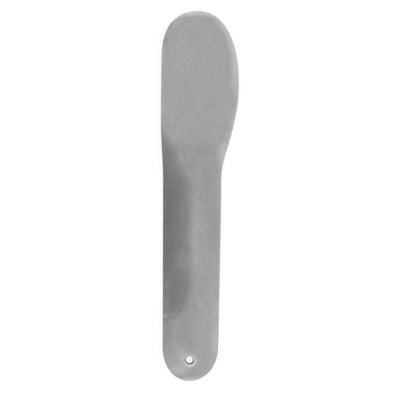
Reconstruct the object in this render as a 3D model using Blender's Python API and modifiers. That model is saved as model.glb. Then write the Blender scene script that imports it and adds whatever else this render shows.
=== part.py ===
"""A one-piece tyre lever, pressed from steel plate. It lies with its head towards +Y and its crest up:
a broad flat head, a handle whose two sides are folded down from a crest, and a flat tail with a
round hanging hole. The sides of the handle touch the ground plane, and the head, the crest and the
tail share one level above it.
"""

import math

import bmesh
import bpy
from mathutils import Vector

MM = 0.001

# Driving dimensions, in millimetres. The middle of the length and of the head's width is x = y = 0.
LENGTH = 200.0
HEAD_WIDTH = 42.2
NECK_WIDTH = 31.6
TAIL_WIDTH = 30.2
PLATE = 3.0
RIM_RADIUS = 0.5
HOLE_DIAMETER = 4.2
HOLE_ROLL = 0.5
HOLE_TO_END = 11.5
PUNCH_MARGIN = 1.0

# Where the outline changes, along the length.
WIDEST_Y = 63.0
SHOULDER_Y = 74.0
CHEEK_Y = 42.0
FLARE_Y = 26.7
NECK_Y = 8.5
TAIL_ROUND_Y = -81.0

# The handle's folded sides, which fall away from a straight crest.
CREST_X = -3.2
LEFT_SLOPE = 0.082
FOLD_SOFTNESS = 2.8
SIDE_RADIUS = 116.0
FOLD_START_Y = 7.5
FOLD_SPREAD = 0.52
FOLD_END_Y = -45.0
FOLD_END_LENGTH = 21.0
FOLD_END_POWER = 3.0

# The thinned prying edge: a chamfer on the upper face, round the tip and the right of the head.
EDGE_WIDTH = 3.4
EDGE_DEPTH = 0.8
EDGE_RUNOUT = 14.0

# Resolution of the solid.
WELD = 0.00001
CURVE_STEPS = 10
RIM_STEPS = 1
HOLE_STEPS = 32
ROLL_STEPS = 4
FOLD_LINES = (-12.0, -8.5, -5.6, -2.8, 0.0, 2.8, 5.6, 8.5, 12.0)
ROW_SPACING = 3.5
SHARP_ANGLE = math.radians(35)

# Where the outline changes, across it.
HEAD_HALF = HEAD_WIDTH / 2
TIP_X = -1.1
SHOULDER_X = 0.3 - HEAD_HALF
FLARE_X = 15.2
HANDLE_LEFT = -20.0
NECK_RIGHT = HANDLE_LEFT + NECK_WIDTH
TAIL_LEFT = -20.2
TAIL_RIGHT = TAIL_LEFT + TAIL_WIDTH
TAIL_TIP_X = TAIL_LEFT + TAIL_WIDTH / 2 - 0.7
FLARE_HEADING = -105.8
HOLE_Y = HOLE_TO_END - LENGTH / 2
LEFT_REACH = CREST_X - HANDLE_LEFT
RIGHT_REACH = NECK_RIGHT - CREST_X
TAIL_REACH = CREST_X - TAIL_LEFT


def clear_scene():
    for obj in list(bpy.data.objects):
        bpy.data.objects.remove(obj, do_unlink=True)


def new_collection(name):
    collection = bpy.data.collections.new(name)
    bpy.context.scene.collection.children.link(collection)
    return collection


def steel_material():
    material = bpy.data.materials.new("satin_steel")
    material.use_nodes = True
    shader = material.node_tree.nodes["Principled BSDF"]
    shader.inputs["Base Color"].default_value = (0.46, 0.46, 0.47, 1.0)
    shader.inputs["Metallic"].default_value = 1.0
    shader.inputs["Roughness"].default_value = 0.42
    return material


def outline_knots():
    """Each knot of the blank's outline, clockwise from the tip of the head: its place, its heading in
    degrees, and how far the curve keeps to that heading before it and after it."""
    side_taper = math.degrees(math.atan((NECK_RIGHT - TAIL_RIGHT) / (NECK_Y - TAIL_ROUND_Y)))
    return [
        ((TIP_X, LENGTH / 2), 0.0, 9.8, 16.7),
        ((HEAD_HALF, WIDEST_Y), -90.0, 15.5, 12.0),
        ((FLARE_X, FLARE_Y), FLARE_HEADING, 20.0, 5.0),
        ((NECK_RIGHT, NECK_Y), -90.0, 8.0, 20.0),
        ((TAIL_RIGHT, TAIL_ROUND_Y), -90.0 - side_taper, 20.0, 12.0),
        ((TAIL_TIP_X, -LENGTH / 2), 180.0, 8.5, 7.8),
        ((TAIL_LEFT, TAIL_ROUND_Y), 90.0, 11.9, 20.0),
        ((HANDLE_LEFT, NECK_Y), 90.0, 20.0, 12.0),
        ((-HEAD_HALF, CHEEK_Y), 90.0, 15.0, 8.0),
        ((SHOULDER_X, SHOULDER_Y), 90.0, 12.0, 20.5),
    ]


def blank_curve():
    """The flat blank: the outline filled and extruded to the plate's thickness, with rounded rims."""
    data = bpy.data.curves.new("blank_outline", "CURVE")
    data.dimensions = "2D"
    data.fill_mode = "BOTH"
    data.resolution_u = CURVE_STEPS
    data.extrude = (PLATE / 2 - RIM_RADIUS) * MM
    data.bevel_depth = RIM_RADIUS * MM
    data.bevel_resolution = RIM_STEPS
    data.offset = -RIM_RADIUS * MM
    knots = outline_knots()
    spline = data.splines.new("BEZIER")
    spline.bezier_points.add(len(knots) - 1)
    spline.use_cyclic_u = True
    for point, (place, heading, before, after) in zip(spline.bezier_points, knots):
        centre = Vector((place[0], place[1], 0.0)) * MM
        direction = Vector((math.cos(math.radians(heading)), math.sin(math.radians(heading)), 0.0))
        point.handle_left_type = "FREE"
        point.handle_right_type = "FREE"
        point.co = centre
        point.handle_left = centre - direction * before * MM
        point.handle_right = centre + direction * after * MM
    curve = bpy.data.objects.new("blank_outline", data)
    bpy.context.scene.collection.objects.link(curve)
    return curve


def mesh_from_curve(curve, name):
    """A welded mesh of the curve, whose object is removed."""
    bpy.context.view_layer.update()
    evaluated = curve.evaluated_get(bpy.context.evaluated_depsgraph_get())
    mesh = bpy.data.meshes.new_from_object(evaluated)
    mesh.name = name
    mesh.transform(curve.matrix_world)
    bpy.data.objects.remove(curve, do_unlink=True)
    return mesh


def flat_half_width(y):
    """Half the width that stays flat beside the crest: none along the handle, opening in straight
    diagonals towards the head, and in a short round sweep at the tail."""
    towards_head = FOLD_SPREAD * max(0.0, y - FOLD_START_Y)
    share = min(1.0, max(0.0, (FOLD_END_Y - y) / FOLD_END_LENGTH))
    left_over = (1.0 - share**FOLD_END_POWER) ** (1.0 / FOLD_END_POWER)
    return towards_head + TAIL_REACH * (1.0 - left_over)


def side_drop(beyond, slope):
    """The drop at a distance beyond the flat: a soft start, then a slope that keeps steepening."""
    if beyond < 2 * FOLD_SOFTNESS:
        ramp = beyond**2 / (4 * FOLD_SOFTNESS)
    else:
        ramp = beyond - FOLD_SOFTNESS
    return slope * ramp + beyond**2 / (2 * SIDE_RADIUS)


def right_slope():
    """The slope that brings the narrower right side down as far as the left one at the neck."""
    rest = side_drop(LEFT_REACH, LEFT_SLOPE) - side_drop(RIGHT_REACH, 0.0)
    return rest / (RIGHT_REACH - FOLD_SOFTNESS)


def fold_drop(x, y):
    """How far the plate is pressed down at a point, in millimetres."""
    beyond = max(0.0, abs(x - CREST_X) - flat_half_width(y))
    return side_drop(beyond, LEFT_SLOPE if x < CREST_X else right_slope())


def edge_share(x, y):
    """1 where the prying edge has its full depth, 0 along the handle and the head's left side."""
    along = min(1.0, max(0.0, (y - FLARE_Y) / EDGE_RUNOUT))
    across = min(1.0, max(0.0, (x + HEAD_HALF) / EDGE_RUNOUT))
    return along * across


def join_flat_faces(bm, side):
    """Makes one face of the curve's triangulated cap on the upper (1) or the lower (-1) side."""
    height = PLATE / 2 * MM
    cap = [face for face in bm.faces if all(abs(vert.co.z - side * height) < WELD for vert in face.verts)]
    return bmesh.ops.dissolve_faces(bm, faces=cap)["region"]


def thin_the_edge(bm, top):
    """Insets the upper face and lowers its border, which leaves a chamfer of varying depth."""
    bmesh.ops.inset_region(bm, faces=top, thickness=EDGE_WIDTH * MM, use_even_offset=True)
    inside = {vert for face in top for vert in face.verts}
    for vert in bm.verts:
        if vert.co.z > 0 and vert not in inside:
            vert.co.z -= EDGE_DEPTH * edge_share(vert.co.x / MM, vert.co.y / MM) * MM


def cut_line(bm, place, normal):
    bmesh.ops.bisect_plane(
        bm,
        geom=bm.verts[:] + bm.edges[:] + bm.faces[:],
        dist=WELD,
        plane_co=place * MM,
        plane_no=normal,
    )


def cut_fold_grid(bm):
    """Lines along the crest, and rows across it from the tail to where the diagonals have left the
    head's sides, so that the plate can follow the folds."""
    for offset in FOLD_LINES:
        cut_line(bm, Vector((CREST_X + offset, 0.0, 0.0)), Vector((1.0, 0.0, 0.0)))
    top_row = FOLD_START_Y + (HEAD_HALF - CREST_X) / FOLD_SPREAD
    bottom_row = FOLD_END_Y - FOLD_END_LENGTH
    rows = round((top_row - bottom_row) / ROW_SPACING)
    for row in range(rows + 1):
        y = bottom_row + (top_row - bottom_row) * row / rows
        cut_line(bm, Vector((0.0, y, 0.0)), Vector((0.0, 1.0, 0.0)))


def press(bm):
    """Folds the handle's sides down, then lays the lowest point on z = 0."""
    for vert in bm.verts:
        vert.co.z -= fold_drop(vert.co.x / MM, vert.co.y / MM) * MM
    lowest = min(vert.co.z for vert in bm.verts)
    for vert in bm.verts:
        vert.co.z -= lowest


def hole_punch(collection, top):
    """The cutter: a turned punch with a round shoulder, which rolls the hole's upper edge."""
    radius = HOLE_DIAMETER / 2
    turns = [math.pi / 2 * step / ROLL_STEPS for step in range(ROLL_STEPS + 1)]
    shoulder = [
        (radius + HOLE_ROLL * (1 - math.sin(turn)), top - HOLE_ROLL * (1 - math.cos(turn)))
        for turn in turns
    ]
    mouth = radius + HOLE_ROLL + PUNCH_MARGIN
    above = top + PUNCH_MARGIN
    below = top - PLATE - PUNCH_MARGIN
    profile = [(0.0, above), (mouth, above), *shoulder, (radius, below), (0.0, below)]
    mesh = bpy.data.meshes.new("hole_punch")
    edges = [(index, index + 1) for index in range(len(profile) - 1)]
    mesh.from_pydata([(x * MM, 0.0, z * MM) for x, z in profile], edges, [])
    punch = bpy.data.objects.new("hole_punch", mesh)
    punch.location = (TAIL_TIP_X * MM, HOLE_Y * MM, 0.0)
    punch.hide_render = True
    punch.display_type = "WIRE"
    collection.objects.link(punch)
    screw = punch.modifiers.new("turn", "SCREW")
    screw.steps = HOLE_STEPS
    screw.render_steps = HOLE_STEPS
    screw.use_merge_vertices = True
    screw.merge_threshold = WELD
    return punch


def lever_blade(parts, cutters):
    mesh = mesh_from_curve(blank_curve(), "lever_blade")
    bm = bmesh.new()
    bm.from_mesh(mesh)
    bmesh.ops.remove_doubles(bm, verts=bm.verts, dist=WELD)
    join_flat_faces(bm, -1)
    thin_the_edge(bm, join_flat_faces(bm, 1))
    cut_fold_grid(bm)
    press(bm)
    top = max(vert.co.z for vert in bm.verts) / MM
    bmesh.ops.triangulate(bm, faces=bm.faces)
    bmesh.ops.recalc_face_normals(bm, faces=bm.faces)
    bm.to_mesh(mesh)
    bm.free()
    blade = bpy.data.objects.new("lever_blade", mesh)
    blade.data.materials.append(steel_material())
    parts.objects.link(blade)
    cut = blade.modifiers.new("hanging_hole", "BOOLEAN")
    cut.operation = "DIFFERENCE"
    cut.solver = "EXACT"
    cut.object = hole_punch(cutters, top)
    mesh.shade_smooth()
    mesh.set_sharp_from_angle(angle=SHARP_ANGLE)


def main():
    clear_scene()
    parts = new_collection("tyre_lever")
    cutters = new_collection("tyre_lever_cutters")
    lever_blade(parts, cutters)


main()
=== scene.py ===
"""The looks of the tyre lever: one pressed steel piece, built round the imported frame, in a plain studio.

Lengths are in millimetres in the frame's own axes, unless a name or a comment says otherwise: +Y runs to
the head, +X is the side where the head bulges, and +Z goes up out of the crest.
"""

import math

import bmesh
import bpy
import numpy as np
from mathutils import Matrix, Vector, noise


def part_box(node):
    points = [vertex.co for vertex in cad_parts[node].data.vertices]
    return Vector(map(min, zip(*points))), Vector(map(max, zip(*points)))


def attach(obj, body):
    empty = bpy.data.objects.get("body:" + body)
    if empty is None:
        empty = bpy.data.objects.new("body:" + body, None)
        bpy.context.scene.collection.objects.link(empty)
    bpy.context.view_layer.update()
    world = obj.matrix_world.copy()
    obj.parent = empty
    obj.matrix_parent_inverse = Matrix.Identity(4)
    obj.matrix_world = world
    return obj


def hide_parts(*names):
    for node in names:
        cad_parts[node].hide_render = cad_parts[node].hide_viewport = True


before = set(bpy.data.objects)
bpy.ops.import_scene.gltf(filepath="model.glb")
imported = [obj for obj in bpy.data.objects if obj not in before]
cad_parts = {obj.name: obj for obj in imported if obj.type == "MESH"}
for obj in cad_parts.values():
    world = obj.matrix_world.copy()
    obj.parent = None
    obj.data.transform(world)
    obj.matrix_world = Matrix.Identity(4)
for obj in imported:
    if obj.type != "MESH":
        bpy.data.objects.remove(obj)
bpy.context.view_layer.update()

MM = 0.001
LOW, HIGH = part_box("lever_blade")

# Driving sizes, from the frame.
LENGTH = (HIGH.y - LOW.y) / MM
HEAD_HALF = (HIGH.x - LOW.x) / MM / 2
TOP = HIGH.z / MM

# The outline, as in part.py.
NECK_WIDTH = 31.6
TAIL_WIDTH = 30.2
PLATE = 3.0
TIP_X = -1.1
WIDEST_Y = 63.0
SHOULDER_X = 0.3 - HEAD_HALF
SHOULDER_Y = 74.0
CHEEK_Y = 42.0
FLARE_X = 15.2
FLARE_Y = 26.7
FLARE_HEADING = -105.8
NECK_Y = 8.5
HANDLE_LEFT = -20.0
NECK_RIGHT = HANDLE_LEFT + NECK_WIDTH
TAIL_ROUND_Y = -81.0
TAIL_LEFT = -20.2
TAIL_RIGHT = TAIL_LEFT + TAIL_WIDTH
TAIL_TIP_X = -5.8

# The folded sides, as in part.py but with a tighter crest, a slightly flatter left side and a soft start
# to their spread.
CREST_X = -3.2
LEFT_SLOPE = 0.079
FOLD_SOFTNESS = 2.1
SIDE_RADIUS = 116.0
FOLD_START_Y = 7.5
FOLD_SPREAD = 0.52
SPREAD_SOFTNESS = 6.0
FOLD_END_Y = -45.0
FOLD_END_LENGTH = 21.0
FOLD_END_POWER = 3.0
LEFT_REACH = CREST_X - HANDLE_LEFT
RIGHT_REACH = NECK_RIGHT - CREST_X
TAIL_REACH = CREST_X - TAIL_LEFT

# The tail's left border, rolled down a little, and where along Y the roll comes in and goes out.
ROLL_X = -12.0
ROLL_CURVE = 0.0068
ROLL_FROM_Y = (-84.0, -76.0)
ROLL_TO_Y = (-68.0, -60.0)

# The hanging hole: its mouth is quickly rounded, its bore narrows and drifts a little on the way down,
# and the punch drew a shallow dish round it. The shares are of the plate's thickness.
HOLE_X = -5.65
HOLE_Y = 11.2 - LENGTH / 2
BORE_RADIUS = 1.86
BORE_DRIFT = 0.14
BORE_TOP_SHARE = 0.06
BORE_LENGTH_SHARE = 0.9
BORE_END_BREAK = 0.3
MOUTH_RADIUS = 2.28
BREAK_RADIUS = 0.15
BREAK_TURN = math.radians(75)
DISH_RADIUS = 5.2
DISH_DEPTH = 0.03

# The ground bevel round the rim, down the right side and the left side: its place along Y, its width,
# its tilt in degrees where it meets the face, and its tilt at the rim.
RIGHT_BEVEL = (
    (-100, 2.4, 15, 24),
    (-95, 2.0, 11, 18),
    (-88, 1.4, 2, 6),
    (-56, 1.4, 1, 3),
    (8, 1.5, 0, 2),
    (14, 2.2, 1, 3),
    (21, 4.6, 4, 9),
    (36, 5.2, 6, 7),
    (46, 4.2, 8, 11),
    (57, 5.0, 14, 19),
    (68, 4.5, 15, 26),
    (84, 3.9, 12, 27),
    (92, 3.4, 10, 30),
    (100, 3.3, 14, 36),
)
LEFT_BEVEL = (
    (-100, 2.4, 15, 24),
    (-98.5, 1.5, 8, 12),
    (-96, 0.8, 1, 2),
    (90, 0.8, 1, 2),
    (94, 1.2, 6, 14),
    (98, 3.0, 13, 30),
    (100, 3.3, 14, 36),
)
CREASE = 0.12

# The round corner outside the bevel. It grows to its fullest at the tip, over these stretches.
CORNER_RADIUS = 0.16
TIP_CORNER = 1.1
TIP_CORNER_FROM_X = (-20.0, -8.0)
TIP_CORNER_FROM_Y = (84.0, 99.0)
BACK_CORNER = 0.4

# The slight unevenness of pressed and tumbled plate: the depth and the size of each wave.
WAVES = ((0.035, 17.0), (0.003, 4.5))

# The steel: its colour, its roughness and how far that varies, and how strongly its tone varies, as
# shares of the tone. The drawing marks are a share of the grain.
STEEL = (0.46, 0.46, 0.46)
ROUGHNESS = 0.295
ROUGHNESS_CHANGE = 0.02
GRAIN_HEAD = 0.135
GRAIN_HANDLE = 0.21
DRAWING_MARKS = 0.2
CLOUD = 0.038
MOTTLE = 0.02
BLOTCH = 0.02

# The size of each kind of unevenness in the steel. The drawing marks are made in a place that is
# shrunk along Y, which draws them out. Then the heights of the fine bumps and of the deepest pits, and
# how many finer layers the noise has.
GRAIN_SIZE = 0.48
MARK_SIZE = 1.1
MARK_SHRINK = 0.12
CLOUD_SIZE = 2.2
MOTTLE_SIZE = 6.0
BLOTCH_SIZE = 19.0
ROUGHNESS_SIZE = 3.1
BUMP_SIZE = 0.55
BUMP_HEIGHT = 0.0012
PIT_DEPTH = 0.02
PLAIN_DETAIL = 2.0
FINE_DETAIL = 3.0

# The head is smoother than the handle, the tail lies between, and the left side is coarser. Each pair
# is where the change starts and where it is full.
HEAD_FROM_Y = (18.0, 40.0)
TAIL_FROM_Y = (-55.0, -70.0)
TAIL_SMOOTHNESS = 0.45
COARSE_FROM_X = (-4.0, -9.0)
COARSENESS = 1.35

# Painted highlights and painted shade: softly brighter and darker patches where the plate's uneven face
# catches more or less light. Each has its place, reach across and along, and the change at the middle.
HEAD_LIGHT_PATCHES = (
    (-4.5, 98.5, 5.0, 3.5, 0.09),
    (8.0, 96.0, 7.0, 4.5, -0.12),
    (-14.0, 95.0, 6.0, 5.0, 0.21),
    (-18.8, 91.5, 2.4, 5.0, 0.30),
    (-18.4, 84.2, 1.8, 2.4, -0.12),
    (-21.3, 77.0, 2.4, 13.0, 0.42),
    (-9.5, 77.0, 11.0, 18.0, 0.06),
    (-21.3, 61.0, 2.0, 8.0, 0.18),
    (-13.5, 61.0, 5.0, 4.5, 0.05),
    (6.0, 48.5, 9.0, 5.0, -0.05),
    (-21.3, 47.0, 3.2, 11.0, 0.20),
    (17.0, 45.0, 5.0, 10.0, 0.11),
)
NECK_LIGHT_PATCHES = (
    (-17.0, 38.0, 3.0, 4.0, -0.05),
    (-20.5, 30.0, 3.0, 9.0, 0.08),
    (-11.0, 25.0, 10.0, 7.5, -0.16),
    (2.0, 25.0, 13.0, 7.0, -0.08),
    (11.7, 24.3, 3.9, 7.0, 0.16),
    (-6.5, 17.0, 6.0, 8.0, -0.10),
    (1.0, 14.0, 13.0, 30.0, -0.10),
    (-18.0, 13.0, 5.0, 8.0, -0.12),
)
HANDLE_LIGHT_PATCHES = (
    (-4.5, 5.0, 3.3, 12.0, -0.10),
    (-9.0, 3.5, 3.0, 3.5, 0.05),
    (1.7, 3.0, 3.0, 4.0, 0.05),
    (-4.0, -5.5, 4.0, 5.0, -0.04),
    (-6.5, -9.0, 5.0, 8.0, -0.11),
    (-8.5, -10.0, 4.0, 24.0, 0.07),
    (8.0, -15.0, 7.0, 24.0, -0.11),
    (-8.5, -29.0, 3.0, 9.0, 0.07),
    (-11.0, -35.0, 6.0, 10.0, 0.20),
    (-9.0, -38.0, 3.0, 4.0, 0.05),
    (-17.5, -48.0, 7.0, 14.0, 0.22),
    (-3.5, -48.0, 6.0, 15.0, -0.12),
    (1.5, -49.0, 3.5, 4.0, 0.05),
    (-10.5, -53.0, 4.0, 3.5, 0.04),
    (6.0, -53.0, 5.0, 10.0, 0.07),
    (-19.0, -58.0, 4.5, 7.0, 0.24),
    (-4.0, -59.5, 6.0, 6.0, -0.12),
)
TAIL_LIGHT_PATCHES = (
    (8.5, -61.0, 5.0, 9.0, 0.13),
    (0.0, -63.5, 5.5, 4.5, -0.06),
    (-9.5, -66.0, 11.0, 9.0, -0.13),
    (-20.3, -74.0, 3.2, 9.0, 0.36),
    (-9.0, -75.0, 9.5, 9.0, -0.13),
    (9.0, -79.0, 5.0, 17.0, 0.25),
    (-4.5, -81.0, 6.0, 5.0, -0.09),
    (-18.5, -84.0, 4.5, 5.0, -0.09),
    (-10.0, -86.5, 4.5, 7.5, 0.17),
    (6.0, -91.0, 4.0, 4.5, 0.10),
    (-11.5, -94.0, 8.0, 5.0, 0.26),
    (-5.0, -95.5, 5.0, 3.0, -0.08),
    (-6.0, -99.5, 10.0, 2.6, 0.14),
)

# Painted highlights round the hole: a faint one over the dish, and a brighter ring set off to one side.
DISH_HIGHLIGHT = 0.22
HALO_HIGHLIGHT = 0.45
HALO_CENTRE = (HOLE_X + 0.65, HOLE_Y - 0.6)
HALO_RADII = (3.7, 3.5)
HALO_CORE = 0.75

# Small pits at random: how far apart they could be, the draw above which there is one, the reach of its
# core and of its border as shares of the spacing, and its depth of tone on the handle and on the head.
PIT_SPACING = 2.6
PIT_DRAW = 0.75
PIT_REACH = (0.05, 0.17)
PIT_ON_HANDLE = 0.42
PIT_ON_HEAD = 0.2

# The larger pits: place, reach across and along, and depth of tone.
PITS = (
    (2.8, -8.0, 0.95, 0.33, 0.7),
    (4.2, -18.1, 0.4, 0.4, 0.45),
    (-1.9, -22.5, 0.55, 0.4, 0.6),
    (-8.9, -26.3, 0.4, 0.4, 0.5),
    (-6.1, -26.3, 0.4, 0.4, 0.5),
    (-8.6, -27.9, 0.4, 0.4, 0.4),
    (-2.5, -31.1, 0.6, 0.4, 0.65),
    (5.2, -34.9, 0.4, 0.4, 0.5),
    (6.2, 8.7, 0.4, 0.4, 0.5),
)
PIT_CORE = 0.3

# Painted glints: bright specks at their places, their reach, and how much brighter they are.
GLINTS = ((3.6, -22.3), (-15.0, -38.2), (-18.6, -65.2))
GLINT_REACH = 0.4
GLINT = 0.35

# The bore, darkened by painted shade and made rougher: the middle and the radii of its mask, how far
# it fades, how dark the painted shade is, and how much rougher it is.
BORE_MASK_CENTRE = (HOLE_X, HOLE_Y - 0.08)
BORE_MASK_RADII = (2.38, 2.14)
BORE_MASK_FADE = 1.03
BORE_SHADE = 0.8
BORE_ROUGHER = 0.4

# Painted shade on the edges, by the Z of the surface's normal where the shade starts and where it is full.
# The sheared side is shaded all round. The round corner is shaded only on the right, from the neck up to
# the head's widest place, and each pair of X or Y is where that starts and where it is full.
SHEARED_NORMAL = (0.45, 0.25)
SHEARED_SHADE = 0.4
CORNER_NORMAL = (0.93, 0.7)
CORNER_SHADE = 0.5
SHADED_CORNER_RIGHT_OF_X = (0.0, 6.0)
SHADED_CORNER_ABOVE_Y = (4.0, 16.0)
SHADED_CORNER_BELOW_Y = (68.0, 58.0)

# The light tent, by degrees from straight above: how bright it is all round, and what is left of that
# straight to the left and straight to the right. These stops came from a fit to the photograph's tones.
# They are rounded, and only the outer ones of TENT and WALL were changed since.
TENT = ((0, 1.15), (8, 0.95), (16, 0.85), (24, 0.7), (32, 0.8), (42, 0.87), (55, 1.0), (70, 1.3), (90, 1.45))
FLAG = ((0, 1.0), (8, 0.5), (16, 0.35), (24, 0.15), (32, 0.35), (42, 0.6), (55, 0.85), (70, 1.0), (90, 1.0))
WALL = ((0, 1.0), (8, 0.84), (16, 0.82), (24, 0.9), (32, 1.1), (42, 1.25), (55, 1.2), (70, 1.0), (90, 0.95))
TENT_SCALE = 1.5

# The floor: half its side in metres, its looks, and its even glow, which keeps it pale beside the steel.
FLOOR_HALF = 4.0
FLOOR_GREY = 0.2
FLOOR_ROUGHNESS = 0.9
FLOOR_GLOW = 0.85

# The camera, straight above, as far off as on a copy stand: its place over the frame's origin and above
# the lever's top, its sensor, and the side of the square that it takes in at a depth below that top.
CAMERA_X = 0.07
CAMERA_Y = -2.23
CAMERA_HEIGHT = 1600.0
SENSOR_WIDTH = 36.0
VIEW_SIDE = 216.24
VIEW_DEPTH = 1.5

# The mesh: how finely each stretch is divided, the first and the last row across the lever, the length
# over which the spine bends to the hole, and how close points are when they are welded.
BEZIER_STEPS = 80
ROWS = 104
TIP_ROW_Y = 74.0
TAIL_ROW_Y = -80.0
SPINE_BEND_LENGTH = 20.0
TIP_STEPS = 44
TAIL_STEPS = 48
CORNER_STEPS = 4
BEVEL_STEPS = 6
TOP_STEPS = 16
BACK_STEPS = 8
DISH_STEPS = 5
BORE_STEPS = 4
HOLE_BACK_STEPS = 4
WELD = 0.002


def smooth_step(value, low, high):
    """A smooth rise from 0 to 1 between two values."""
    share = np.clip((value - low) / (high - low), 0.0, 1.0)
    return share * share * (3.0 - 2.0 * share)


def outline_knots():
    """Each knot of the outline, clockwise from the tip: its place, its heading in degrees, and how far
    the curve keeps to that heading before it and after it."""
    side_taper = math.degrees(math.atan((NECK_RIGHT - TAIL_RIGHT) / (NECK_Y - TAIL_ROUND_Y)))
    return [
        ((TIP_X, LENGTH / 2), 0.0, 9.8, 16.7),
        ((HEAD_HALF, WIDEST_Y), -90.0, 15.5, 12.0),
        ((FLARE_X, FLARE_Y), FLARE_HEADING, 20.0, 5.0),
        ((NECK_RIGHT, NECK_Y), -90.0, 8.0, 20.0),
        ((TAIL_RIGHT, TAIL_ROUND_Y), -90.0 - side_taper, 20.0, 12.0),
        ((TAIL_TIP_X, -LENGTH / 2), 180.0, 8.5, 7.8),
        ((TAIL_LEFT, TAIL_ROUND_Y), 90.0, 11.9, 20.0),
        ((HANDLE_LEFT, NECK_Y), 90.0, 20.0, 12.0),
        ((-HEAD_HALF, CHEEK_Y), 90.0, 15.0, 8.0),
        ((SHOULDER_X, SHOULDER_Y), 90.0, 12.0, 20.5),
    ]


def towards(heading):
    """The unit vector of a heading in degrees."""
    return np.array([math.cos(math.radians(heading)), math.sin(math.radians(heading))])


def dense_outline():
    """The closed outline as an array of points, clockwise from the tip."""
    knots = outline_knots()
    share = np.linspace(0.0, 1.0, BEZIER_STEPS, endpoint=False)[:, None]
    pieces = []
    for (start, leaving, _, reach), (end, arriving, lead, _) in zip(knots, knots[1:] + knots[:1]):
        a = np.array(start)
        d = np.array(end)
        b = a + reach * towards(leaving)
        c = d - lead * towards(arriving)
        pieces.append(
            (1 - share) ** 3 * a
            + 3 * (1 - share) ** 2 * share * b
            + 3 * (1 - share) * share**2 * c
            + share**3 * d
        )
    return np.concatenate(pieces)


def evenly_along(points, steps):
    """The polyline's points at equal distances, both ends included."""
    gaps = np.linalg.norm(np.diff(points, axis=0), axis=1)
    along = np.concatenate([[0.0], np.cumsum(gaps)])
    at = np.linspace(0.0, along[-1], steps + 1)
    return np.stack([np.interp(at, along, points[:, axis]) for axis in (0, 1)], axis=1)


def ring_turns():
    """The direction of each point round the hole, clockwise from the side towards the head."""
    return math.pi / 2 - 2 * math.pi * np.arange(TAIL_STEPS) / TAIL_STEPS


def round_hole(radius, turns):
    """Places round the middle of the hole."""
    return np.stack([HOLE_X + radius * np.cos(turns), HOLE_Y + radius * np.sin(turns)], axis=1)


def side_rows():
    """The levels along Y at which each side has a place, from the head down."""
    return np.linspace(TIP_ROW_Y, TAIL_ROW_Y, ROWS)


def edge_stations():
    """Places round the outline: the tip, the right side, the tail and the left side, clockwise."""
    outline = dense_outline()
    tail_index = int(np.argmin(outline[:, 1]))
    right = outline[: tail_index + 1]
    left = np.concatenate([outline[tail_index:], outline[:1]])
    rows = side_rows()
    right_side = np.stack([np.interp(rows, right[::-1, 1], right[::-1, 0]), rows], axis=1)
    left_side = np.stack([np.interp(rows, left[:, 1], left[:, 0]), rows], axis=1)

    above_left = left[left[:, 1] > TIP_ROW_Y]
    above_right = right[right[:, 1] > TIP_ROW_Y]
    below_right = right[right[:, 1] < TAIL_ROW_Y]
    below_left = left[left[:, 1] < TAIL_ROW_Y]
    over_tip = np.concatenate([left_side[:1], above_left, above_right[1:], right_side[:1]])
    round_tail = np.concatenate([right_side[-1:], below_right, below_left[1:], left_side[-1:]])
    tip = evenly_along(over_tip, TIP_STEPS)
    tail = evenly_along(round_tail, TAIL_STEPS)
    return np.concatenate([tip[1:-1], right_side, tail[1:-1], left_side[::-1]])


def inner_stations():
    """The point inside that the surface runs to from each place on the outline: one pole for the tip,
    the spine for the two sides, and the ring round the hole for the tail."""
    rows = side_rows()
    sweep = smooth_step(-rows, -TAIL_ROW_Y - SPINE_BEND_LENGTH, -TAIL_ROW_Y)
    spine_x = CREST_X + (HOLE_X - CREST_X) * sweep
    spine_y = rows + (HOLE_Y + DISH_RADIUS - TAIL_ROW_Y) * sweep
    spine = np.stack([spine_x, spine_y], axis=1)
    pole = np.repeat(spine[:1], TIP_STEPS - 1, axis=0)
    ring = round_hole(DISH_RADIUS, ring_turns()[1:])
    return np.concatenate([pole, spine, ring, spine[::-1]])


def inward_from(edge):
    """The unit vector that points in from each place on the outline, square to it."""
    ahead = np.roll(edge, -1, axis=0) - edge
    behind = edge - np.roll(edge, 1, axis=0)
    ahead /= np.linalg.norm(ahead, axis=1)[:, None]
    behind /= np.linalg.norm(behind, axis=1)[:, None]
    along = ahead + behind
    along /= np.linalg.norm(along, axis=1)[:, None]
    return np.stack([along[:, 1], -along[:, 0]], axis=1)


def bevel_at(x, y):
    """The bevel at places on the outline: its width, and its slopes at the face and at the rim."""
    values = []
    for column in (1, 2, 3):
        right, left = (
            np.interp(y, [row[0] for row in table], [row[column] for row in table])
            for table in (RIGHT_BEVEL, LEFT_BEVEL)
        )
        values.append(np.where(x > TAIL_TIP_X, right, left))
    width, inner, outer = values
    return width, np.tan(np.radians(inner)), np.tan(np.radians(outer))


def corner_at(x, y):
    """The radius of the round corner at places on the outline."""
    share = smooth_step(y, *TIP_CORNER_FROM_Y) * smooth_step(x, *TIP_CORNER_FROM_X)
    return CORNER_RADIUS + (TIP_CORNER - CORNER_RADIUS) * share


def soft_ramp(distance, softness):
    """Nought below nought, and further on the distance less the softness, with a smooth bend between."""
    bend = np.maximum(0.0, distance) ** 2 / (4 * softness)
    return np.where(distance < 2 * softness, bend, distance - softness)


def side_drop(beyond, slope):
    """A soft start, then a slope that keeps steepening."""
    return slope * soft_ramp(beyond, FOLD_SOFTNESS) + beyond**2 / (2 * SIDE_RADIUS)


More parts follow.
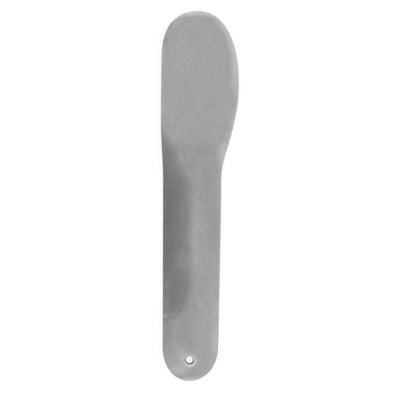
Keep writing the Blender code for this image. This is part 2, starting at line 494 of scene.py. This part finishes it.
def fold_drop(x, y):
    """How far the plate is pressed down. Both rims of the neck come down to the same level."""
    towards_head = FOLD_SPREAD * soft_ramp(y - FOLD_START_Y + SPREAD_SOFTNESS, SPREAD_SOFTNESS)
    share = np.clip((FOLD_END_Y - y) / FOLD_END_LENGTH, 0.0, 1.0)
    left_over = (1.0 - share**FOLD_END_POWER) ** (1.0 / FOLD_END_POWER)
    beyond = np.maximum(0.0, np.abs(x - CREST_X) - towards_head - TAIL_REACH * (1.0 - left_over))
    still_to_fall = side_drop(LEFT_REACH, LEFT_SLOPE) - side_drop(RIGHT_REACH, 0.0)
    right_slope = still_to_fall / (RIGHT_REACH - FOLD_SOFTNESS)
    return side_drop(beyond, np.where(x < CREST_X, LEFT_SLOPE, right_slope))


def tail_roll(x, y):
    """The tail's left border, which hangs a little below the face."""
    along = smooth_step(y, *ROLL_FROM_Y) * (1 - smooth_step(y, *ROLL_TO_Y))
    return ROLL_CURVE * np.maximum(0.0, ROLL_X - x) ** 2 * along


def dish(x, y):
    """The shallow dish that the punch drew round the hole."""
    reach = np.hypot(x - HOLE_X, y - HOLE_Y)
    return DISH_DEPTH * np.clip(1 - (reach - MOUTH_RADIUS) / (DISH_RADIUS - MOUTH_RADIUS), 0, 1) ** 2


def ripple(x, y):
    """The plate's unevenness, always downwards."""
    depth = np.zeros_like(x)
    for index in np.ndindex(x.shape):
        place = Vector((x[index], y[index], 0.0))
        depth[index] = sum(height * (1 + noise.noise(place / size)) for height, size in WAVES)
    return depth


def plate_height(x, y):
    """The level of the upper face."""
    return TOP - fold_drop(x, y) - tail_roll(x, y) - dish(x, y) - ripple(x, y)


def bevel_drop(inset, bevel):
    """The bevel's drop below the face at a distance in from the outline."""
    width, inner, outer = bevel
    return outer * (width - inset) + (inner - outer) * (width**2 - inset**2) / (2 * width)


def rim_profile(x, y):
    """(distance in from the outline, drop below the face) for each ring of the rim, from the outline
    inwards: down the round corner, then across the bevel."""
    bevel = bevel_at(x, y)
    width, _, outer = bevel
    radius = corner_at(x, y)
    tilt = np.arctan(outer)
    corner_inset = radius * (1 - np.sin(tilt))
    corner_drop = bevel_drop(corner_inset, bevel)
    rings = []
    for step in range(CORNER_STEPS):
        turn = math.pi / 2 + (tilt - math.pi / 2) * step / CORNER_STEPS
        rings.append((radius * (1 - np.sin(turn)), corner_drop + radius * (np.cos(tilt) - np.cos(turn))))
    for step in range(BEVEL_STEPS + 1):
        inset = corner_inset + (width - CREASE - corner_inset) * step / BEVEL_STEPS
        rings.append((inset, bevel_drop(inset, bevel)))
    rings.append((width, 0.0))
    return rings


class Shell:
    """Collects the rings of the surface, and joins neighbouring rings with quads."""

    def __init__(self):
        self.points = []
        self.faces = []
        self.count = 0

    def add_ring(self, x, y, z):
        """Adds a closed ring of points, and gives their numbers."""
        ring = list(range(self.count, self.count + len(x)))
        self.points.append(np.stack([x, y, z], axis=1))
        self.count += len(x)
        return ring

    def add_plate_ring(self, at, drop):
        """Adds a ring at these places, a drop below the upper face."""
        x, y = at[:, 0], at[:, 1]
        return self.add_ring(x, y, plate_height(x, y) - drop)

    def join(self, outer, inner):
        """Joins two rings of the same count."""
        for here in range(len(outer)):
            there = (here + 1) % len(outer)
            self.faces.append((outer[here], outer[there], inner[there], inner[here]))

    def loft(self, rings):
        """Joins each ring to the next."""
        for outer, inner in zip(rings, rings[1:]):
            self.join(outer, inner)


def face_rings(shell, edge, inward, inner):
    """The upper face, from the outline to the spine and the hole's ring."""
    x, y = edge[:, 0], edge[:, 1]
    width, _, _ = bevel_at(x, y)
    rings = [shell.add_plate_ring(edge + inward * inset[:, None], drop) for inset, drop in rim_profile(x, y)]
    start = edge + inward * (width[:, None] + CREASE)
    for step in range(TOP_STEPS + 1):
        rings.append(shell.add_plate_ring(start + (inner - start) * step / TOP_STEPS, 0.0))
    return rings


def back_rings(shell, edge, inward, inner):
    """The underside, from the spine and the hole's ring out to the corner below the outline."""
    rings = []
    start = edge + inward * BACK_CORNER
    for step in range(BACK_STEPS, -1, -1):
        rings.append(shell.add_plate_ring(start + (inner - start) * step / BACK_STEPS, PLATE))
    for step in range(1, CORNER_STEPS + 1):
        turn = math.pi / 2 * step / CORNER_STEPS
        at = edge + inward * BACK_CORNER * (1 - math.sin(turn))
        lift = BACK_CORNER * (1 - math.cos(turn))
        rings.append(shell.add_plate_ring(at, PLATE - lift))
    return rings


def hole_profile():
    """(radius, depth below the face) for each ring of the hole, from the dish's border in, down the
    bore, and out again on the back."""
    outer = MOUTH_RADIUS + BREAK_RADIUS
    profile = [(radius, 0.0) for radius in np.linspace(DISH_RADIUS, outer, DISH_STEPS + 1)]
    for step in range(1, CORNER_STEPS + 1):
        turn = BREAK_TURN * step / CORNER_STEPS
        profile.append((outer - BREAK_RADIUS * math.sin(turn), BREAK_RADIUS * (1 - math.cos(turn))))
    for step in range(1, BORE_STEPS + 1):
        share = step / BORE_STEPS
        radius = MOUTH_RADIUS + (BORE_RADIUS - MOUTH_RADIUS) * share
        profile.append((radius, PLATE * (BORE_TOP_SHARE + BORE_LENGTH_SHARE * share)))
    back = np.linspace(BORE_RADIUS + BORE_END_BREAK, DISH_RADIUS, HOLE_BACK_STEPS + 1)
    return profile + [(radius, PLATE) for radius in back]


def hole_rings(shell):
    """The dish, the broken edge, the bore and the back of the hole."""
    rings = []
    for radius, depth in hole_profile():
        drift = BORE_DRIFT * depth / PLATE if radius < MOUTH_RADIUS else 0.0
        at = round_hole(radius, ring_turns()) + (0.0, drift)
        rings.append(shell.add_plate_ring(at, depth))
    return rings


def lever_plate():
    """The whole lever as one closed mesh."""
    edge = edge_stations()
    inward = inward_from(edge)
    inner = inner_stations()
    shell = Shell()
    face = face_rings(shell, edge, inward, inner)
    back = back_rings(shell, edge, inward, inner)
    shell.loft(face)
    shell.loft(back)
    shell.join(back[-1], face[0])
    shell.loft(hole_rings(shell))
    points = np.concatenate(shell.points)
    points[:, 2] -= points[:, 2].min()
    mesh = bpy.data.meshes.new("lever_plate")
    mesh.from_pydata(points * MM, [], shell.faces)
    clean(mesh)
    mesh.shade_smooth()
    lever = bpy.data.objects.new("lever_plate", mesh)
    bpy.context.scene.collection.objects.link(lever)
    return lever


def clean(mesh):
    """Welds the spine, the pole and the hole's ring, and points the faces out."""
    bm = bmesh.new()
    bm.from_mesh(mesh)
    bmesh.ops.remove_doubles(bm, verts=bm.verts, dist=WELD * MM)
    bmesh.ops.recalc_face_normals(bm, faces=bm.faces)
    bm.to_mesh(mesh)
    bm.free()


def link_or_set(tree, socket, value):
    """Feeds a socket from another one, or from a number."""
    if isinstance(value, bpy.types.NodeSocket):
        tree.links.new(value, socket)
    else:
        socket.default_value = value


def math_node(tree, operation, first, second=0.0):
    """One step of arithmetic on values that are numbers or sockets."""
    node = tree.nodes.new("ShaderNodeMath")
    node.operation = operation
    link_or_set(tree, node.inputs[0], first)
    link_or_set(tree, node.inputs[1], second)
    return node.outputs[0]


def product(tree, first, *others):
    """The values multiplied together."""
    result = first
    for other in others:
        result = math_node(tree, "MULTIPLY", result, other)
    return result


def total(tree, first, *others):
    """The values added together."""
    result = first
    for other in others:
        result = math_node(tree, "ADD", result, other)
    return result


def less(tree, whole, part):
    """The whole less the part."""
    return math_node(tree, "SUBTRACT", whole, part)


def map_range(tree, value, from_pair, to_pair, interpolation="LINEAR"):
    """A value carried from one range to another, and kept within it."""
    node = tree.nodes.new("ShaderNodeMapRange")
    node.interpolation_type = interpolation
    tree.links.new(value, node.inputs["Value"])
    node.inputs["From Min"].default_value, node.inputs["From Max"].default_value = from_pair
    node.inputs["To Min"].default_value, node.inputs["To Max"].default_value = to_pair
    return node.outputs["Result"]


def rise(tree, value, from_pair):
    """A smooth rise from 0 at the pair's first value to 1 at its second."""
    return map_range(tree, value, from_pair, (0.0, 1.0), "SMOOTHSTEP")


def curve_node(tree, angle, stops):
    """A value that runs straight from stop to stop, by an angle in radians."""
    node = tree.nodes.new("ShaderNodeFloatCurve")
    curve = node.mapping.curves[0]
    places = [(degrees / 90.0, value / TENT_SCALE) for degrees, value in stops]
    curve.points[0].location = places[0]
    curve.points[-1].location = places[-1]
    for place in places[1:-1]:
        curve.points.new(*place)
    for point in curve.points:
        point.handle_type = "VECTOR"
    node.mapping.update()
    tree.links.new(math_node(tree, "DIVIDE", angle, math.pi / 2), node.inputs["Value"])
    return product(tree, node.outputs["Value"], TENT_SCALE)


def scale_vector(tree, vector, factors):
    """The vector with each part multiplied by its own factor."""
    node = tree.nodes.new("ShaderNodeVectorMath")
    node.operation = "MULTIPLY"
    tree.links.new(vector, node.inputs[0])
    node.inputs[1].default_value = factors
    return node.outputs["Vector"]


def split_vector(tree, vector):
    """The vector's X, Y and Z."""
    node = tree.nodes.new("ShaderNodeSeparateXYZ")
    tree.links.new(vector, node.inputs[0])
    return node.outputs


def noise_node(tree, place, size, detail=PLAIN_DETAIL):
    """Noise about zero, roughly from -1 to 1, with features of the given size in millimetres."""
    node = tree.nodes.new("ShaderNodeTexNoise")
    node.inputs["Scale"].default_value = 1.0 / size
    node.inputs["Detail"].default_value = detail
    tree.links.new(place, node.inputs["Vector"])
    return product(tree, less(tree, node.outputs["Fac"], 0.5), 4.0)


def far_from(tree, place, centre, radii):
    """Distance from a centre in the plan, as a share of the radii."""
    offset = tree.nodes.new("ShaderNodeVectorMath")
    offset.operation = "SUBTRACT"
    tree.links.new(place, offset.inputs[0])
    offset.inputs[1].default_value = (centre[0], centre[1], 0.0)
    shaped = scale_vector(tree, offset.outputs["Vector"], (1.0 / radii[0], 1.0 / radii[1], 0.0))
    length = tree.nodes.new("ShaderNodeVectorMath")
    length.operation = "LENGTH"
    tree.links.new(shaped, length.inputs[0])
    return length.outputs["Value"]


def spot(tree, place, centre, radii, core=0.0):
    """A soft spot: 1 inside the core's share of the radii, 0 outside the radii."""
    return map_range(tree, far_from(tree, place, centre, radii), (core, 1.0), (1.0, 0.0), "SMOOTHSTEP")


def smoothness(tree, axes):
    """How smooth the steel is along the lever: 0 on the handle, 1 on the head."""
    on_head = rise(tree, axes["Y"], HEAD_FROM_Y)
    on_tail = product(tree, rise(tree, axes["Y"], TAIL_FROM_Y), TAIL_SMOOTHNESS)
    return math_node(tree, "MAXIMUM", on_head, on_tail)


def grain_changes(tree, place, axes, smooth):
    """Fine grain, drawing marks along the lever, and softer mottling, as changes of the tone."""
    coarser = map_range(tree, axes["X"], COARSE_FROM_X, (1.0, COARSENESS), "SMOOTHSTEP")
    grain_strength = product(tree, map_range(tree, smooth, (0.0, 1.0), (GRAIN_HANDLE, GRAIN_HEAD)), coarser)
    shrunk = scale_vector(tree, place, (1.0, MARK_SHRINK, 1.0))
    return [
        product(tree, noise_node(tree, place, GRAIN_SIZE, FINE_DETAIL), grain_strength),
        product(tree, noise_node(tree, shrunk, MARK_SIZE), product(tree, grain_strength, DRAWING_MARKS)),
        product(tree, noise_node(tree, place, MOTTLE_SIZE, FINE_DETAIL), MOTTLE),
        product(tree, noise_node(tree, place, BLOTCH_SIZE), BLOTCH),
        product(tree, noise_node(tree, place, CLOUD_SIZE), product(tree, smooth, CLOUD)),
    ]


def painted_light_patches(tree, place):
    """The soft patches of painted highlight and painted shade, as changes of the tone."""
    changes = []
    for x, y, across, along, change in HEAD_LIGHT_PATCHES + NECK_LIGHT_PATCHES + HANDLE_LIGHT_PATCHES + TAIL_LIGHT_PATCHES:
        changes.append(product(tree, spot(tree, place, (x, y), (across, along)), change))
    return changes


def hole_highlight_changes(tree, place):
    """Painted highlights round the hole, over the dish and in a ring set off to one side, as tone changes.
    """
    # Painted highlights: faint over the dish, brighter in the ring.
    dished = spot(tree, place, (HOLE_X, HOLE_Y), (DISH_RADIUS, DISH_RADIUS), MOUTH_RADIUS / DISH_RADIUS)
    ring = spot(tree, place, HALO_CENTRE, HALO_RADII, HALO_CORE)
    return [product(tree, dished, DISH_HIGHLIGHT), product(tree, ring, HALO_HIGHLIGHT)]


def pit_depth(tree, place, smooth):
    """The depth of tone of the small random pits and the larger placed ones, with the painted glints as the
    opposite of a pit."""
    cells = tree.nodes.new("ShaderNodeTexVoronoi")
    cells.inputs["Scale"].default_value = 1.0 / PIT_SPACING
    tree.links.new(place, cells.inputs["Vector"])
    draw = split_vector(tree, cells.outputs["Color"])["X"]
    chosen = map_range(tree, draw, (PIT_DRAW, 1.0), (0.0, 1.0))
    small = map_range(tree, cells.outputs["Distance"], PIT_REACH, (1.0, 0.0), "SMOOTHSTEP")
    small_depth = map_range(tree, smooth, (0.0, 1.0), (PIT_ON_HANDLE, PIT_ON_HEAD))
    depths = [product(tree, small, chosen, small_depth)]
    for x, y, across, along, depth in PITS:
        depths.append(product(tree, spot(tree, place, (x, y), (across, along), PIT_CORE), depth))
    # Painted glints, as pits of negative depth.
    for centre in GLINTS:
        depths.append(product(tree, spot(tree, place, centre, (GLINT_REACH, GLINT_REACH), PIT_CORE), -GLINT))
    return total(tree, *depths)


def bore_mask(tree, place):
    """1 inside the bore and 0 outside it."""
    from_hole = far_from(tree, place, BORE_MASK_CENTRE, BORE_MASK_RADII)
    return map_range(tree, from_hole, (1.0, BORE_MASK_FADE), (1.0, 0.0))


def painted_edge_shade(tree, normal, axes):
    """Painted shade on the sheared side, and on the round corner at the right of the neck and head."""
    # Painted shade on the sheared side and on the right of the round corner.
    sheared = map_range(tree, normal["Z"], SHEARED_NORMAL, (0.0, SHEARED_SHADE))
    corner = map_range(tree, normal["Z"], CORNER_NORMAL, (0.0, CORNER_SHADE))
    on_right = rise(tree, axes["X"], SHADED_CORNER_RIGHT_OF_X)
    above_handle = rise(tree, axes["Y"], SHADED_CORNER_ABOVE_Y)
    below_tip = rise(tree, axes["Y"], SHADED_CORNER_BELOW_Y)
    return math_node(tree, "MAXIMUM", sheared, product(tree, corner, on_right, below_tip, above_handle))


def colour_of(tree, tone):
    """The steel's colour at a tone."""
    colour = tree.nodes.new("ShaderNodeCombineColor")
    for channel, level in zip(("Red", "Green", "Blue"), STEEL):
        tree.links.new(product(tree, tone, level), colour.inputs[channel])
    return colour.outputs["Color"]


def fine_bump(tree, place, pits):
    """The normal of the finely uneven and pitted surface."""
    bump = tree.nodes.new("ShaderNodeBump")
    bump.inputs["Strength"].default_value = 1.0
    bump.inputs["Distance"].default_value = MM
    uneven = product(tree, noise_node(tree, place, BUMP_SIZE, FINE_DETAIL), BUMP_HEIGHT)
    tree.links.new(less(tree, uneven, product(tree, pits, PIT_DEPTH)), bump.inputs["Height"])
    return bump.outputs["Normal"]


def steel():
    """Satin steel: finely grained and speckled with small pits, with painted highlights and shade in soft
    patches, painted glints, painted highlights round the hole's mouth, and painted shade in the bore, on the
    sheared sides and on the right corner."""
    material = bpy.data.materials.new("satin_steel_plate")
    material.use_nodes = True
    tree = material.node_tree
    shader = tree.nodes["Principled BSDF"]
    shader.inputs["Metallic"].default_value = 1.0
    coordinates = tree.nodes.new("ShaderNodeTexCoord")
    place = scale_vector(tree, coordinates.outputs["Object"], (1 / MM, 1 / MM, 1 / MM))
    axes = split_vector(tree, place)
    normal = split_vector(tree, coordinates.outputs["Normal"])

    smooth = smoothness(tree, axes)
    changes = grain_changes(tree, place, axes, smooth)
    changes += painted_light_patches(tree, place)
    changes += hole_highlight_changes(tree, place)
    pits = pit_depth(tree, place, smooth)
    in_bore = bore_mask(tree, place)
    # Painted light in the tone: patches, glints, the hole's highlights, shade in the bore and on edges.
    tone = product(
        tree,
        total(tree, 1.0, *changes),
        less(tree, 1.0, pits),
        less(tree, 1.0, product(tree, in_bore, BORE_SHADE)),
        less(tree, 1.0, painted_edge_shade(tree, normal, axes)),
    )
    tree.links.new(colour_of(tree, tone), shader.inputs["Base Color"])

    uneven = product(tree, noise_node(tree, place, ROUGHNESS_SIZE, FINE_DETAIL), ROUGHNESS_CHANGE)
    rough = total(tree, uneven, product(tree, in_bore, BORE_ROUGHER), ROUGHNESS)
    tree.links.new(rough, shader.inputs["Roughness"])
    tree.links.new(fine_bump(tree, place, pits), shader.inputs["Normal"])
    return material


def studio_floor():
    """A plain pale floor."""
    mesh = bpy.data.meshes.new("floor")
    corners = [(x * FLOOR_HALF, y * FLOOR_HALF, 0.0) for x, y in ((-1, -1), (1, -1), (1, 1), (-1, 1))]
    mesh.from_pydata(corners, [], [(0, 1, 2, 3)])
    floor = bpy.data.objects.new("floor", mesh)
    bpy.context.scene.collection.objects.link(floor)
    material = bpy.data.materials.new("pale_floor")
    material.use_nodes = True
    shader = material.node_tree.nodes["Principled BSDF"]
    shader.inputs["Base Color"].default_value = (FLOOR_GREY, FLOOR_GREY, FLOOR_GREY, 1.0)
    shader.inputs["Roughness"].default_value = FLOOR_ROUGHNESS
    shader.inputs["Specular IOR Level"].default_value = 0.0
    shader.inputs["Emission Color"].default_value = (1.0, 1.0, 1.0, 1.0)
    shader.inputs["Emission Strength"].default_value = FLOOR_GLOW
    mesh.materials.append(material)


def on_one_side(tree, sideways, level):
    """The change that a flag or a wall of this level makes: fullest in its own direction, and none on
    the other side."""
    share = math_node(tree, "POWER", math_node(tree, "MAXIMUM", sideways, 0.0), 2.0)
    return product(tree, less(tree, level, 1.0), share)


def studio_world():
    """A light tent seen by direction: bright straight above, dimmer round that, with bright walls, and
    shaded on the left as if by a grey flag."""
    world = bpy.data.worlds.new("light_tent")
    bpy.context.scene.world = world
    world.use_nodes = True
    tree = world.node_tree
    background = tree.nodes["Background"]
    background.inputs["Color"].default_value = (1.0, 1.0, 1.0, 1.0)
    axes = split_vector(tree, tree.nodes.new("ShaderNodeTexCoord").outputs["Generated"])
    height = axes["Z"]
    from_above = math_node(tree, "ARCCOSINE", height)
    # A little over 1, so that straight up and straight down stay clear of a division by nought.
    flat_length = math_node(tree, "SQRT", less(tree, 1.0001, product(tree, height, height)))
    to_right = math_node(tree, "DIVIDE", axes["X"], flat_length)
    to_left = product(tree, to_right, -1.0)
    flag = on_one_side(tree, to_left, curve_node(tree, from_above, FLAG))
    wall = on_one_side(tree, to_right, curve_node(tree, from_above, WALL))
    level = product(tree, curve_node(tree, from_above, TENT), total(tree, 1.0, flag, wall))
    tree.links.new(level, background.inputs["Strength"])


def studio_camera():
    """Straight above, with the lens that takes in the whole view."""
    data = bpy.data.cameras.new("camera")
    data.sensor_width = SENSOR_WIDTH
    data.lens = SENSOR_WIDTH * (CAMERA_HEIGHT + VIEW_DEPTH) / VIEW_SIDE
    camera = bpy.data.objects.new("camera", data)
    camera.location = (CAMERA_X * MM, CAMERA_Y * MM, HIGH.z + CAMERA_HEIGHT * MM)
    bpy.context.scene.collection.objects.link(camera)
    bpy.context.scene.camera = camera


bpy.context.scene.view_settings.view_transform = "Standard"
plate = lever_plate()
plate.data.materials.append(steel())
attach(plate, "root")
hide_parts("lever_blade")
studio_floor()
studio_world()
studio_camera()
